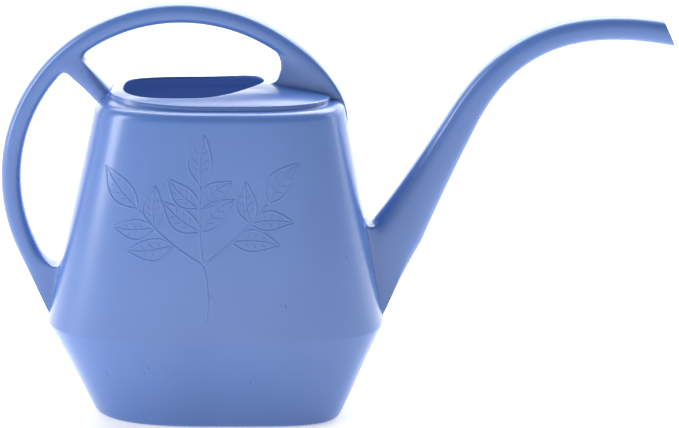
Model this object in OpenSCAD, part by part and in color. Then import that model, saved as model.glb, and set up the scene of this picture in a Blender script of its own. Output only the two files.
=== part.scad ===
// Blow-moulded watering can: one hollow plastic shell, split into its natural regions.
// Origin: centre of the base's underside. +X runs to the spout, +Z is up, Y is the width.

/* [Base] */
// Length of the base outline
base_l = 146.4; // [122:1:176]
// Width of the base outline
base_w = 87.6; // [73:1:96]
// Radius of the heel, where the base turns up into the wall
heel_r = 2.4; // [2:0.1:3]
// Width of the standing land around the floor panel
land_w = 6; // [4:0.5:12]

/* [Waist] */
// Length at the waist, the widest outline
waist_l = 198.4; // [164:1:238]
// Width at the waist
waist_w = 102.4; // [85:1:124]
// Height of the waist crease
waist_z = 54.9; // [45:1:66]
// How far the waist's centre lies towards the spout
waist_shift = -0.7; // [-6:0.5:6]

/* [Shoulder] */
// Length of the outline at the shoulder
shoulder_l = 142; // [120:1:172]
// Width of the outline at the shoulder
shoulder_w = 83.6; // [70:1:102]
// Height of the shoulder ledge
shoulder_z = 187.5; // [156:1:225]
// How far the shoulder's centre lies towards the spout
shoulder_shift = 3.9; // [-4:0.5:8]
// Radius of the shoulder's edge
shoulder_r = 5; // [3:0.5:8]

/* [Collar and mouth] */
// Distance from the shoulder outline in to the collar
collar_inset = 7.5; // [6:0.5:10]
// Height of the collar's edge above the shoulder ledge
collar_h = 3.1; // [2.5:0.1:6]
// Radius of the collar's top edge
collar_r = 1.3; // [0.8:0.1:2.4]
// Rise of the collar and the dome towards the strut, at the rear end
rear_rise = 3; // [0:0.5:4]
// Height of the dome above the collar's edge
dome_h = 8.1; // [4:0.5:12]
// Length of the mouth
mouth_l = 80.8; // [66:1:97]
// Width of the mouth
mouth_w = 53.2; // [44:1:64]
// Width of the lip behind the mouth, from the dome's rear edge
mouth_lip = 6.6; // [4:0.2:12]

/* [Wall] */
// Thickness of the moulded wall
wall = 1.4; // [1.2:0.1:1.7]

/* [Handle] */
// Outside radius of the hoop
hoop_r = 106.9; // [89:1:128]
// Height of the hoop's centre above the base
hoop_z = 136.3; // [125:1:150]
// How far the hoop's outside passes outside the shoulder's front edge
hoop_past = 0.9; // [0:0.1:2]
// Thickness of the hoop, measured along its radius
hoop_t = 12.1; // [10:0.5:14.6]
// Width of the hoop
hoop_w = 13; // [10.8:0.5:15.6]
// Direction from the hoop's centre at which the front web starts
front_angle = 56; // [50:1:62]
// Direction from the hoop's centre at which the rear web starts
rear_angle = 203; // [196:1:208]
// Height of the rear web's opening, from the waist up
rear_web_h = 30.6; // [26:0.5:39]
// How far down the front wall the front web reaches, from the shoulder ledge
front_web_drop = 13.5; // [10:0.5:18]
// Slope of the strut
strut_angle = 48.6; // [40:1:55]
// Thickness of the strut
strut_t = 11.6; // [10:0.2:13.8]
// How far the strut lies above the middle of its foot
strut_lift = 0.5; // [0:0.1:1.5]

/* [Spout] */
// Width of the spout's root across the can
spout_root_w = 20; // [17:0.5:24]
// Depth of the spout's root, measured across its axis
spout_root_t = 30.8; // [25:0.5:36]
// Height of the spout's opening, from the waist up
spout_web_h = 56.1; // [47:0.5:66]
// Radius of the notch between the spout and the wall
notch_r = 5.5; // [3:0.5:8]
// Slope of the spout's straight stretch
spout_angle = 61.3; // [52:1:66]
// Length of the straight stretch
spout_straight = 76.4; // [64:1:92]
// Distance from the base's centre to the outlet's centre
spout_reach = 260.9; // [230:1:300]
// Height of the outlet's centre above the base
outlet_z = 225.4; // [200:1:250]
// Slope of the spout at its outlet, negative is downhill
outlet_angle = -10; // [-20:1:10]
// Outside diameter of the outlet
outlet_d = 13.8; // [11.5:0.1:16.6]
// Angle of the outlet's cut away from square
outlet_cut = 35; // [0:1:55]

/* [Hidden] */
plastic = [0.39, 0.50, 0.74];

// Roundness of the outlines: 2 is an ellipse, larger is squarer
base_round = [2.75, 4.8];
waist_round = [2.6, 3.3];
shoulder_round = [2.8, 3.2];
mouth_round = [3.1, 1.9];
tube_round = 2.6;

// The webs and the spout start this far above the waist
web_lift = 2.6;
web_z = waist_z + web_lift;
rear_web_z = waist_z + rear_web_h;
spout_web_z = waist_z + spout_web_h;
front_web_z = shoulder_z - front_web_drop;
collar_z = shoulder_z + collar_h;

// Columns of the body's grid: 4 quarters, the first 3 steps of each at fixed widths
QUARTER = 9;
COLUMNS = 4 * QUARTER;
HANDLE_K = 2;
SPOUT_K = 3;
grid_y_out = [0, hoop_w / 4, hoop_w / 2, spout_root_w / 2];
grid_y_in = [0, hoop_w / 4, hoop_w / 2 - wall, spout_root_w / 2 - wall];

// Sides of a handle tube and of a spout tube
HOOP_SIDES = 16;
SPOUT_SIDES = 20;

// ---------- general functions ----------

function lerp(a, b, t) = a + (b - a) * t;
function unit(v) = v / norm(v);
function spow(v, p) = sign(v) * pow(abs(v), p);
function sum(v, i = 0) = i == len(v) ? 0 : v[i] + sum(v, i + 1);

// Cubic from p to q that leaves along dp and arrives along dq
function hermite(p, q, dp, dq, t) =
    let (t2 = t * t, t3 = t2 * t)
    (2 * t3 - 3 * t2 + 1) * p + (t3 - 2 * t2 + t) * dp
    + (3 * t2 - 2 * t3) * q + (t3 - t2) * dq;

// True if point p comes before point q, so that two pieces split a shared face alike
function before(p, q) =
    p.x != q.x ? p.x < q.x : p.y != q.y ? p.y < q.y : p.z < q.z;

// Two triangles of the joint face a, b (outside) and a_in, b_in (inside)
function joint_face(points, a, b, b_in, a_in) =
    before(points[a], points[b]) ? [[a, b, b_in], [a, b_in, a_in]]
                                 : [[a, b, a_in], [b, b_in, a_in]];

// Closed solid between two grids of points. Rows run along it, columns around it.
// Cells for which open(row, column) holds are left out and get joint faces.
module skin_solid(outer, inner, open) {
    rows = len(outer);
    cols = len(outer[0]);
    points = concat([for (row = outer) for (p = row) p], [for (row = inner) for (p = row) p]);
    half = rows * cols;
    function id(i, j) = i * cols + (j + cols) % cols;
    function solid(i, j) = i >= 0 && i < rows - 1 && !open(i, (j + cols) % cols);
    function edge(a, b) = joint_face(points, a, b, b + half, a + half);
    faces = [for (i = [0:rows - 2]) for (j = [0:cols - 1]) if (solid(i, j))
        let (a = id(i, j), b = id(i, j + 1), c = id(i + 1, j + 1), d = id(i + 1, j))
        each concat(
            [[a, d, c], [a, c, b]],
            [[a + half, b + half, c + half], [a + half, c + half, d + half]],
            solid(i - 1, j) ? [] : edge(a, b),
            solid(i + 1, j) ? [] : edge(c, d),
            solid(i, j - 1) ? [] : edge(d, a),
            solid(i, j + 1) ? [] : edge(b, c))];
    polyhedron(points, faces, convexity = 10);
}
whole = function (i, j) false;

// ---------- outlines of the body: [centre x, half length, half width, rear and front roundness] ----------

base_outline = [0, base_l / 2, base_w / 2, base_round[0], base_round[1]];
waist_outline = [waist_shift, waist_l / 2, waist_w / 2, waist_round[0], waist_round[1]];
shoulder_outline = [shoulder_shift, shoulder_l / 2, shoulder_w / 2, shoulder_round[0], shoulder_round[1]];

function inset(outline, d) = outline - [0, d, d, 0, 0];
function wall_outline(z) =
    z < waist_z ? lerp(base_outline, waist_outline, z / waist_z)
                : lerp(waist_outline, shoulder_outline, (z - waist_z) / (shoulder_z - waist_z));
dome_outline = inset(shoulder_outline, collar_inset + collar_r);
mouth_x = dome_outline[0] - dome_outline[1] + mouth_lip + mouth_l / 2;
mouth_outline = [mouth_x, mouth_l / 2, mouth_w / 2, mouth_round[0], mouth_round[1]];

// How many columns j lies past the middle column, negative before it
function column_offset(j, middle) = (j - middle + COLUMNS + QUARTER) % COLUMNS - QUARTER;

// Step of column j within its quarter, counted from the end of the can
function quarter_step(j) = let (r = j % QUARTER) floor(j / QUARTER) % 2 == 0 ? r : QUARTER - r;

// Point of column j on an outline; the first columns lie at the widths in grid_y
function outline_point(outline, j, grid_y) =
    let (k = quarter_step(j), front = j < QUARTER || j > 3 * QUARTER,
         n = front ? outline[4] : outline[3],
         last = asin(pow(grid_y[SPOUT_K] / outline[2], n / 2)),
         turn = k <= SPOUT_K ? asin(pow(grid_y[k] / outline[2], n / 2))
                             : lerp(last, 90, (k - SPOUT_K) / (QUARTER - SPOUT_K)))
    [outline[0] + (front ? 1 : -1) * outline[1] * pow(cos(turn), 2 / n),
     (j <= 2 * QUARTER ? 1 : -1) * outline[2] * pow(sin(turn), 2 / n)];

// How much a point of the collar or the dome is raised towards the rear
function rear_lift(x) = rear_rise * pow(max(0, (dome_outline[0] - x) / dome_outline[1]), 2);

// A row of the wall at one height; the ledge's rows take a share of the rear rise
function wall_row(z, d, grid_y, share = 0) =
    [for (j = [0:COLUMNS - 1]) let (p = outline_point(inset(wall_outline(z), d), j, grid_y))
        [p.x, p.y, z + share * rear_lift(p.x)]];

// Height of the dome's outer surface over a point
function dome_height(p) =
    let (n = p.x > dome_outline[0] ? dome_outline[4] : dome_outline[3],
         rho = pow(pow(abs(p.x - dome_outline[0]) / dome_outline[1], n)
                   + pow(abs(p.y) / dome_outline[2], n), 1 / n))
    collar_z + dome_h * (1 - rho * rho) + rear_lift(p.x);
// A row of the dome, t of the way to the mouth; the front web's columns can move out by web_out
function dome_row(t, d, web_out, drop, grid_y) =
    [for (j = [0:COLUMNS - 1])
        let (web = abs(column_offset(j, 0)) <= HANDLE_K,
             p = outline_point(inset(lerp(dome_outline, mouth_outline, t), web ? d - web_out : d), j, grid_y))
        [p.x, p.y, dome_height(p) - drop]];

// ---------- grid of the body, from the floor panel up to the mouth ----------

heel_turns = [90, 55, 25, 0];
tub_mid_z = (heel_r + waist_z) / 2;
low_steps = 4;
high_steps = 3;
web_heights = [for (i = [0:low_steps]) lerp(web_z, rear_web_z, i / low_steps)];
spout_heights = [for (i = [1:high_steps]) lerp(rear_web_z, spout_web_z, i / high_steps)];
shoulder_foot_z = shoulder_z - shoulder_r;
shoulder_turns = [45, 90];
dome_steps = [0, 0.25, 0.5, 0.7, 0.85, 1];
FRONT_WEB_STEP = 4;
STRUT_STEP = 0;

body_heights = concat([waist_z], web_heights, spout_heights,
                      [(spout_web_z + front_web_z) / 2, front_web_z, shoulder_foot_z]);
// The upper edges of the openings drop by a wall inside, which gives mitred joints
function drops_inside(z) = z == rear_web_z || z == spout_web_z;

outer_rows = concat(
    [wall_row(0, heel_r + land_w, grid_y_out)],
    [for (t = heel_turns) wall_row(heel_r * (1 - sin(t)), heel_r * (1 - cos(t)), grid_y_out)],
    [wall_row(tub_mid_z, 0, grid_y_out)],
    [for (z = body_heights) wall_row(z, 0, grid_y_out)],
    [for (t = shoulder_turns)
        wall_row(shoulder_foot_z + shoulder_r * sin(t), shoulder_r * (1 - cos(t)), grid_y_out, (1 - cos(t)) / 2)],
    [wall_row(shoulder_z, collar_inset, grid_y_out, 1)],
    [wall_row(collar_z - collar_r, collar_inset, grid_y_out, 1)],
    [for (t = dome_steps) dome_row(t, 0, 0, 0, grid_y_out)]);

heel_in = heel_r - wall;
shoulder_in = shoulder_r - wall;
inner_rows = concat(
    [[for (p = wall_row(0, heel_r + land_w, grid_y_out)) [p.x, p.y, wall]]],
    [for (t = heel_turns) wall_row(heel_r - heel_in * sin(t), heel_r - heel_in * cos(t), grid_y_in)],
    [wall_row(tub_mid_z, wall, grid_y_in)],
    [for (z = body_heights) wall_row(drops_inside(z) ? z - wall : z, wall, grid_y_in)],
    [for (t = shoulder_turns)
        wall_row(shoulder_foot_z + shoulder_in * sin(t), shoulder_r - shoulder_in * cos(t), grid_y_in, (1 - cos(t)) / 2)],
    [wall_row(shoulder_z - wall, collar_inset + wall, grid_y_in, 1)],
    [wall_row(collar_z - collar_r - wall / 2, collar_inset + wall, grid_y_in, 1)],
    [for (i = [0:len(dome_steps) - 1])
        dome_row(dome_steps[i], i == 0 ? wall / 2 : 0, i == FRONT_WEB_STEP ? wall : 0, wall, grid_y_in)]);

// Rows at which the pieces and the openings begin and end
WAIST_ROW = len(heel_turns) + 2;
WEB_ROW = WAIST_ROW + 1;
REAR_ROW = WEB_ROW + low_steps;
SPOUT_ROW = REAR_ROW + high_steps;
FRONT_ROW = SPOUT_ROW + 2;
SHOULDER_ROW = FRONT_ROW + 1;
COLLAR_ROW = SHOULDER_ROW + len(shoulder_turns) + 1;
DOME_ROW = COLLAR_ROW + 2;
MOUTH_ROW = len(outer_rows) - 1;

// An opening: [first row, last row, middle column, half width in columns]
rear_opening = [WEB_ROW, REAR_ROW, 2 * QUARTER, HANDLE_K];
strut_opening = [SHOULDER_ROW, DOME_ROW + STRUT_STEP, 2 * QUARTER, HANDLE_K];
spout_opening = [WEB_ROW, SPOUT_ROW, 0, SPOUT_K];
front_opening = [FRONT_ROW, DOME_ROW + FRONT_WEB_STEP, 0, HANDLE_K];
openings = [rear_opening, strut_opening, spout_opening, front_opening];

function within(i, j, o) =
    i >= o[0] && i < o[1] && column_offset(j, o[2]) >= -o[3] && column_offset(j, o[2]) < o[3];
function in_opening(i, j) = len([for (o = openings) if (within(i, j, o)) 1]) > 0;

module body_piece(first, last) {
    skin_solid([for (i = [first:last]) outer_rows[i]], [for (i = [first:last]) inner_rows[i]],
               function (i, j) in_opening(i + first, j));
}

// ---------- loops of points around an opening, and tube sections that match them ----------

// Each step is [row, column, p, q]: p and q run from -1 to 1 across and up the opening
function loop_steps(o) =
    let (r = o[1] - o[0], k = o[3])
    concat([for (j = [-k:k - 1]) [o[0], j, j / k, -1]],
           [for (i = [0:r - 1]) [o[0] + i, k, 1, 2 * i / r - 1]],
           [for (j = [k:-1:-k + 1]) [o[1], j, j / k, 1]],
           [for (i = [r:-1:1]) [o[0] + i, -k, -1, 2 * i / r - 1]]);
function opening_loop(o, rows) =
    [for (s = loop_steps(o)) rows[s[0]][(o[2] + s[1] + COLUMNS) % COLUMNS]];

// A tube section: centre, side direction, upper direction, half width, half thickness
function section_point(c, side, up, half_w, half_t, turn) =
    c + side * half_w * spow(cos(turn), 2 / tube_round) + up * half_t * spow(sin(turn), 2 / tube_round);
function loop_section(o, c, side, up, half_w, half_t) =
    [for (s = loop_steps(o)) section_point(c, side, up, half_w, half_t, atan2(s[3], s[2]))];
function ring_section(c, side, up, half_w, half_t, sides) =
    [for (i = [0:sides - 1]) section_point(c, side, up, half_w, half_t, 360 * i / sides - 90)];

// Rows that run from the opening's loop to a section; low_dir and high_dir are the
// directions in which the surface leaves the body at the opening's low and high edge
function branch_rows(o, from, to, low_dir, high_dir, tube_dir, steps, power = 1) =
    let (loop = loop_steps(o))
    [for (i = [0:steps]) [for (m = [0:len(from) - 1])
        let (f = pow((loop[m][3] + 1) / 2, power),
             reach = norm(to[m] - from[m]),
             leave = unit(lerp(low_dir, high_dir, f)))
        hermite(from[m], to[m], leave * reach, tube_dir * reach, i / steps)]];

module branch(o, c, side, up, half_w, half_t, low_dir, high_dir, tube_dir, steps, power = 1) {
    skin_solid(
        branch_rows(o, opening_loop(o, outer_rows), loop_section(o, c, side, up, half_w, half_t),
                    low_dir, high_dir, tube_dir, steps, power),
        branch_rows(o, opening_loop(o, inner_rows), loop_section(o, c, side, up, half_w - wall, half_t - wall),
                    low_dir, high_dir, tube_dir, steps, power),
        whole);
}

// ---------- handle ----------

front_end = shoulder_shift + shoulder_l / 2;
rear_end = shoulder_shift - shoulder_l / 2;
// The hoop's outside passes just outside the shoulder's front edge
hoop_x = front_end + hoop_past - sqrt(pow(hoop_r, 2) - pow(shoulder_z - hoop_z, 2));
hoop_mid_r = hoop_r - hoop_t / 2;
function hoop_point(a, r) = [hoop_x + r * cos(a), 0, hoop_z + r * sin(a)];
function radial(a) = [cos(a), 0, sin(a)];
function along(a) = [-sin(a), 0, cos(a)];

// The strut runs from the middle of its opening back and up to the hoop's inside
strut_low = outer_rows[strut_opening[0]][strut_opening[2]];
strut_high = outer_rows[strut_opening[1]][strut_opening[2]];
strut_dir = [-cos(strut_angle), 0, sin(strut_angle)];
strut_up = [sin(strut_angle), 0, cos(strut_angle)];
strut_start = (strut_low + strut_high) / 2 + strut_up * strut_lift;
hoop_in_r = hoop_r - hoop_t;
to_centre = [hoop_x, 0, hoop_z] - strut_start;
strut_along = to_centre * strut_dir;
strut_l = strut_along + sqrt(pow(strut_along, 2) - to_centre * to_centre + pow(hoop_in_r, 2));
strut_end = strut_start + strut_dir * strut_l;
strut_turn = atan2(strut_end.z - hoop_z, strut_end.x - hoop_x);
strut_flare = 1.5;
strut_spread = asin((strut_t / 2 + strut_flare) / hoop_in_r);

// Directions of the hoop's sections; the middle stretch is the strut's opening
front_sections = 11;
strut_sections = strut_opening[1] - strut_opening[0];
rear_sections = 10;
hoop_turns = concat(
    [for (i = [0:front_sections - 1]) lerp(front_angle, strut_turn - strut_spread, i / front_sections)],
    [for (i = [0:strut_sections]) lerp(strut_turn - strut_spread, strut_turn + strut_spread, i / strut_sections)],
    [for (i = [1:rear_sections]) lerp(strut_turn + strut_spread, rear_angle, i / rear_sections)]);
hoop_gap_first = front_sections;
hoop_gap_last = front_sections + strut_sections;
HOOP_MID = HOOP_SIDES / 2;

// Inside, the opening's two ends close in by a wall
wall_turn = asin(wall / hoop_in_r);
hoop_turns_in = [for (i = [0:len(hoop_turns) - 1])
    hoop_turns[i] + (i == hoop_gap_first ? wall_turn : i == hoop_gap_last ? -wall_turn : 0)];
function hoop_rows(turns, thin) =
    [for (a = turns) ring_section(hoop_point(a, hoop_mid_r), [0, 1, 0], -radial(a),
                                  hoop_w / 2 - thin, hoop_t / 2 - thin, HOOP_SIDES)];
hoop_outer = hoop_rows(hoop_turns, 0);
hoop_inner = hoop_rows(hoop_turns_in, wall);
function in_hoop_gap(i, j) =
    i >= hoop_gap_first && i < hoop_gap_last && j >= HOOP_MID - HANDLE_K && j < HOOP_MID + HANDLE_K;

// Loop around the hoop's gap, in the order of the strut's own opening
function hoop_gap_loop(rows) =
    [for (s = loop_steps(strut_opening))
        rows[hoop_gap_last - round((s[3] + 1) / 2 * strut_sections)][HOOP_MID + s[1]]];
function strut_rows(rows, hoop, thin) =
    let (lead = 0.35, trail = 0.75)
    [opening_loop(strut_opening, rows),
     for (t = [lead, trail])
        loop_section(strut_opening, strut_start + strut_dir * strut_l * t, [0, -1, 0], strut_up,
                     hoop_w / 2 - thin, strut_t / 2 - thin),
     hoop_gap_loop(hoop)];

// ---------- spout ----------

spout_dir = [cos(spout_angle), 0, sin(spout_angle)];
spout_up = [-sin(spout_angle), 0, cos(spout_angle)];
outlet_dir = [cos(outlet_angle), 0, sin(outlet_angle)];
outlet_up = [-sin(outlet_angle), 0, cos(outlet_angle)];
function front_wall_x(z) = let (o = wall_outline(z)) o[0] + o[1];
spout_start = [front_wall_x(spout_web_z) + notch_r, 0, spout_web_z + notch_r] - spout_up * spout_root_t / 2;
bend_start = spout_start + spout_dir * spout_straight;
outlet = [spout_reach, 0, outlet_z];
// How far the bend's ends pull along the spout, as shares of its span
bend_span = norm(outlet - bend_start);
pull_in = 0.342;
pull_out = 0.517;
bend_a = bend_start + spout_dir * bend_span * pull_in;
bend_b = outlet - outlet_dir * bend_span * pull_out;
function bend_point(t) =
    pow(1 - t, 3) * bend_start + 3 * pow(1 - t, 2) * t * bend_a + 3 * (1 - t) * t * t * bend_b
    + pow(t, 3) * outlet;
function bend_dir(t) =
    unit(pow(1 - t, 2) * (bend_a - bend_start) + 2 * (1 - t) * t * (bend_b - bend_a)
         + t * t * (outlet - bend_b));
bend_steps = 16;
tip_steps = 5;
bend_lengths = [for (i = [1:bend_steps]) norm(bend_point(i / bend_steps) - bend_point((i - 1) / bend_steps))];
spout_length = spout_straight + sum(bend_lengths);
function bend_length(i) = sum([for (k = [0:1:i - 1]) bend_lengths[k]]);

// The spout tapers quickly at first, then hardly at all
taper = 2.97;
function narrowing(s) = pow(1 - s / spout_length, taper);
function spout_half_t(s) = lerp(outlet_d / 2, spout_root_t / 2, narrowing(s));
function spout_half_w(s) = lerp(outlet_d / 2, spout_root_w / 2, narrowing(s));
function spout_ring(c, dir, s, thin) =
    ring_section(c, [0, 1, 0], [-dir.z, 0, dir.x], spout_half_w(s) - thin, spout_half_t(s) - thin, SPOUT_SIDES);

neck_steps = 7;
function neck_rows(thin) = [for (i = [0:neck_steps]) let (s = spout_straight * i / neck_steps)
    spout_ring(spout_start + spout_dir * s, spout_dir, s, thin)];
function bend_rows(first, last, thin) = [for (i = [first:last])
    spout_ring(bend_point(i / bend_steps), bend_dir(i / bend_steps), spout_straight + bend_length(i), thin)];

// The outlet's ring slides along the spout onto the slanting cut
function cut_ring(thin) = [for (p = spout_ring(outlet, outlet_dir, spout_length, thin))
    p - outlet_dir * ((p - outlet) * outlet_up) * tan(outlet_cut)];
function tip_rows(thin) =
    concat(bend_rows(bend_steps - tip_steps, bend_steps - 2, thin), [cut_ring(thin)]);

// ---------- pieces ----------

module base_panel() {
    color(plastic) linear_extrude(wall)
        polygon([for (p = outer_rows[0]) [p.x, p.y]]);
}

module tub_shell() { color(plastic) body_piece(0, WAIST_ROW); }

module body_shell() { color(plastic) body_piece(WAIST_ROW, SHOULDER_ROW); }

module shoulder() { color(plastic) body_piece(SHOULDER_ROW, COLLAR_ROW); }

module mouth_dome() { color(plastic) body_piece(COLLAR_ROW, MOUTH_ROW); }

module handle_front_root() {
    color(plastic)
        branch(front_opening, hoop_point(front_angle, hoop_mid_r), [0, 1, 0], -radial(front_angle),
               hoop_w / 2, hoop_t / 2, [0, 0, 1], [1, 0, 0.3], along(front_angle), steps = 7, power = 3);
}

module handle_hoop() { color(plastic) skin_solid(hoop_outer, hoop_inner, function (i, j) in_hoop_gap(i, j)); }

module handle_rear_root() {
    rear_foot = outer_rows[WEB_ROW][2 * QUARTER];
    low_dir = unit(hoop_point(rear_angle, hoop_r) - rear_foot);
    color(plastic)
        branch(rear_opening, hoop_point(rear_angle, hoop_mid_r), [0, -1, 0], -radial(rear_angle),
               hoop_w / 2, hoop_t / 2, low_dir, [-1, 0, 0], -along(rear_angle), steps = 6);
}

module handle_strut() {
    color(plastic)
        skin_solid(strut_rows(outer_rows, hoop_outer, 0), strut_rows(inner_rows, hoop_inner, wall), whole);
}

module spout_root() {
    spout_foot = outer_rows[WEB_ROW][0];
    low_dir = unit(spout_start - spout_up * spout_root_t / 2 - spout_foot);
    color(plastic)
        branch(spout_opening, spout_start, [0, 1, 0], spout_up,
               spout_root_w / 2, spout_root_t / 2, low_dir, [1, 0, 0], spout_dir, steps = 6);
}

module spout_neck() { color(plastic) skin_solid(neck_rows(0), neck_rows(wall), whole); }

module spout_bend() {
    last = bend_steps - tip_steps;
    color(plastic) skin_solid(bend_rows(0, last, 0), bend_rows(0, last, wall), whole);
}

module spout_tip() { color(plastic) skin_solid(tip_rows(0), tip_rows(wall), whole); }

base_panel();
tub_shell();
body_shell();
shoulder();
mouth_dome();
handle_front_root();
handle_hoop();
handle_rear_root();
handle_strut();
spout_root();
spout_neck();
spout_bend();
spout_tip();
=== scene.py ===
"""Looks of the blow-moulded watering can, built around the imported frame.

The can is one hollow moulding. Each piece here is a closed, thick-walled region of it, made from a fine
grid that follows the frame's own outlines, and neighbours share their edge points and their normals, so
the surface runs on without a seam. Lengths are millimetres until a mesh is made.
"""

import math

import bpy
import numpy as np
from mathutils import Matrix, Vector


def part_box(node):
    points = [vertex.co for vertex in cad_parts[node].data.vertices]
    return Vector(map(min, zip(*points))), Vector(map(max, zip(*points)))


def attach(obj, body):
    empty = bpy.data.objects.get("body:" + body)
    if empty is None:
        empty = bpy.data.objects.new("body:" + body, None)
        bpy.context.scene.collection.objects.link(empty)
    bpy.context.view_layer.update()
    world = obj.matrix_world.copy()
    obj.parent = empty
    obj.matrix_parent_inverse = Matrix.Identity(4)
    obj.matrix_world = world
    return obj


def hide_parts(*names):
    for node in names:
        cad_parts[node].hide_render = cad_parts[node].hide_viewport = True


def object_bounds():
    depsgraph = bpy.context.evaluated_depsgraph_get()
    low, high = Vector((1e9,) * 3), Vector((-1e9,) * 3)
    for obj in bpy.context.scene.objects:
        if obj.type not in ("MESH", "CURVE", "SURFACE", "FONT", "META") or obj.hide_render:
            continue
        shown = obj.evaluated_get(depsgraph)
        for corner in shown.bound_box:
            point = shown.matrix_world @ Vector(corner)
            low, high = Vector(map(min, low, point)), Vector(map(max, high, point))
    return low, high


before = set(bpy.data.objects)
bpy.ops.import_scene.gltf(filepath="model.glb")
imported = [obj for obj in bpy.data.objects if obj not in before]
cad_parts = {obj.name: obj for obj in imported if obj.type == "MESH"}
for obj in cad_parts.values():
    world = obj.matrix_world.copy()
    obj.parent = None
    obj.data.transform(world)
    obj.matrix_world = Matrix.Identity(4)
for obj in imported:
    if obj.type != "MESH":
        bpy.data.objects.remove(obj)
cad_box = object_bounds()

MM = 0.001
TINY = 1e-9
ON_PLANE = 1e-6  # a point nearer than this lies on the middle plane
FINE_STEPS = 400  # points on a curve that is only measured along


def box_mm(node):
    low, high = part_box(node)
    return np.array(low) / MM, np.array(high) / MM


# ---------- sizes: the frame's own where a node's box shows them ----------

panel_low, panel_high = box_mm("base_panel")
tub_low, tub_high = box_mm("tub_shell")
rim_low = box_mm("shoulder")[0]
dome_low, dome_high = box_mm("mouth_dome")
grip_low, grip_high = box_mm("handle_hoop")

WALL = panel_high[2]
HEEL_R = 2.4
LAND_W = 6.0  # the ring that the can stands on
WAIST_Z = tub_high[2]
SHOULDER_Z = 187.5
SHOULDER_FOOT_Z = rim_low[2]
SHOULDER_R = SHOULDER_Z - SHOULDER_FOOT_Z
SHOULDER_L = 142.0
SHOULDER_SHIFT = 3.9
COLLAR_INSET = 7.5  # from the shoulder's outline to the collar
COLLAR_H = 3.1
COLLAR_R = 1.3
COLLAR_Z = SHOULDER_Z + COLLAR_H
COVE = 0.7  # radius where the ledge meets the collar
INNER_DROP = 0.2  # these two place the inside of the collar's rounding
INNER_RUN = 0.4
DOME_H = 8.1
REAR_RISE = 3.0  # how far the collar and dome rise towards the strut
MOUTH_L = 80.8
MOUTH_W = 53.2
MOUTH_LIP = 6.6  # from the dome's rear end to the mouth

HOOP_R = 106.9  # to the hoop's outside
HOOP_Z = 136.3
HOOP_PAST = 0.9  # how far the hoop passes the shoulder's front end
HOOP_T = 12.1
HOOP_W = grip_high[1] - grip_low[1]
HOOP_IN_R = HOOP_R - HOOP_T
HOOP_MID_R = HOOP_R - HOOP_T / 2
FRONT_ANGLE = 56.0
REAR_ANGLE = 203.0
WEB_Z = WAIST_Z + 2.6  # foot of the rear root and of the spout
REAR_WEB_Z = WAIST_Z + 30.6
FRONT_WEB_DROP = 13.5
STRUT_ANGLE = 48.6
STRUT_T = 11.6
STRUT_LIFT = 0.5

SPOUT_W = 20.0
SPOUT_T = 30.8
SPOUT_WEB_Z = WAIST_Z + 56.1
NOTCH_R = 5.5
SPOUT_ANGLE = 61.3
SPOUT_STRAIGHT = 76.4
OUTLET = np.array([260.9, 0, 225.4])
OUTLET_ANGLE = -10.0
OUTLET_D = 13.8
OUTLET_CUT = 35.0
BEND_PULL_IN = 0.342  # how strongly the bend keeps its first and its last direction
BEND_PULL_OUT = 0.517
TAPER = 2.97

# Roundness of the outlines, rear and front: 2 is an ellipse, larger is squarer
BASE_ROUND = (2.75, 4.8)
WAIST_ROUND = (2.6, 3.3)
SHOULDER_ROUND = (2.8, 3.2)
MOUTH_ROUND = (3.1, 1.9)
TUBE_ROUND = 2.6

# Moulding details that the frame leaves out
CREASE = 0.7  # half height of the waist's rounding
BEAD_H = 0.1  # height of the mould's parting line
HOOP_SLACK = 0.15  # keeps the round hoop inside the frame's many-sided one
WEB_FILLET = 1.5
FRONT_TOP_FILLET = 2.0
LOW_FILLET = 1.0
REAR_GAP_FILLET = 4.0
NOTCH_FILLET = 4.0
STRUT_FILLET = 6.0  # where the strut meets the hoop
STRUT_FOOT_FILLET = 0.6
LIP_ROUND = 0.4
PANEL_RISE = 1.8  # how far the floor panel stands above the land
PANEL_CROWN = 1.2
PANEL_STEP = ((0.0, 0.0), (0.7, 0.12), (1.5, 0.9), (2.3, 1.66), (3.0, PANEL_RISE))  # inset, height
SEAM_H = 0.6  # the pinched seam across the floor panel
SEAM_W = 0.45

# ---------- grid: widths near the ends, where the handle and spout join, then even steps ----------

END_Y = np.array([0, 0.5, 2, 3.5, 5, 6.5, 8, 10, 12.0])
HANDLE_K = 6
SPOUT_K = 8
ARC_STEPS = 28
QUARTER = len(END_Y) - 1 + ARC_STEPS
COLUMNS = 4 * QUARTER
FRONT = 0
REAR = 2 * QUARTER

# Rows from the floor up
HEEL_ROWS = 8
TUB_STEPS = 11
CREASE_STEPS = 6
WINDOW_STEPS = 26  # of the rear root's opening, and up each side of the hoop's ring
NOTCH_STEPS = 12  # from there to the top of the spout's opening
UPPER_STEPS = 14  # from there to the front root's opening
WEB_STEPS = 4  # from there to the shoulder's foot
EDGE_STEPS = 8
STRUT_TOP = 0.08  # these are shares of the way from the collar to the mouth
FRONT_TOP = 0.904
DOME_SHARES = (STRUT_TOP, 0.16, 0.28, 0.4, 0.55, 0.75, FRONT_TOP)
LIP_ROWS = 4

# Rows along the limbs
FILLET_STEPS = 5
ROOT_STEPS = 20
HOOP_FRONT_STEPS = 49
HOOP_REAR_STEPS = 45
GAP_STEPS = 14  # the gap that the strut fills in the hoop

# The two skins of the moulding: outside and inside, with the depth of each
SKINS = ((0, 0.0), (1, WALL))


def lerp(a, b, t):
    return a + (b - a) * t


def unit(v):
    return v / np.maximum(np.linalg.norm(v, axis=-1, keepdims=True), 1e-12)


def steps_after(low, high, count):
    """Even steps from low to high, with low itself left out."""
    return np.linspace(low, high, count + 1)[1:]


def run_along(points):
    """Distance along a line of points from the first one."""
    return np.r_[0, np.cumsum(np.linalg.norm(np.diff(points, axis=0), axis=1))]


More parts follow.
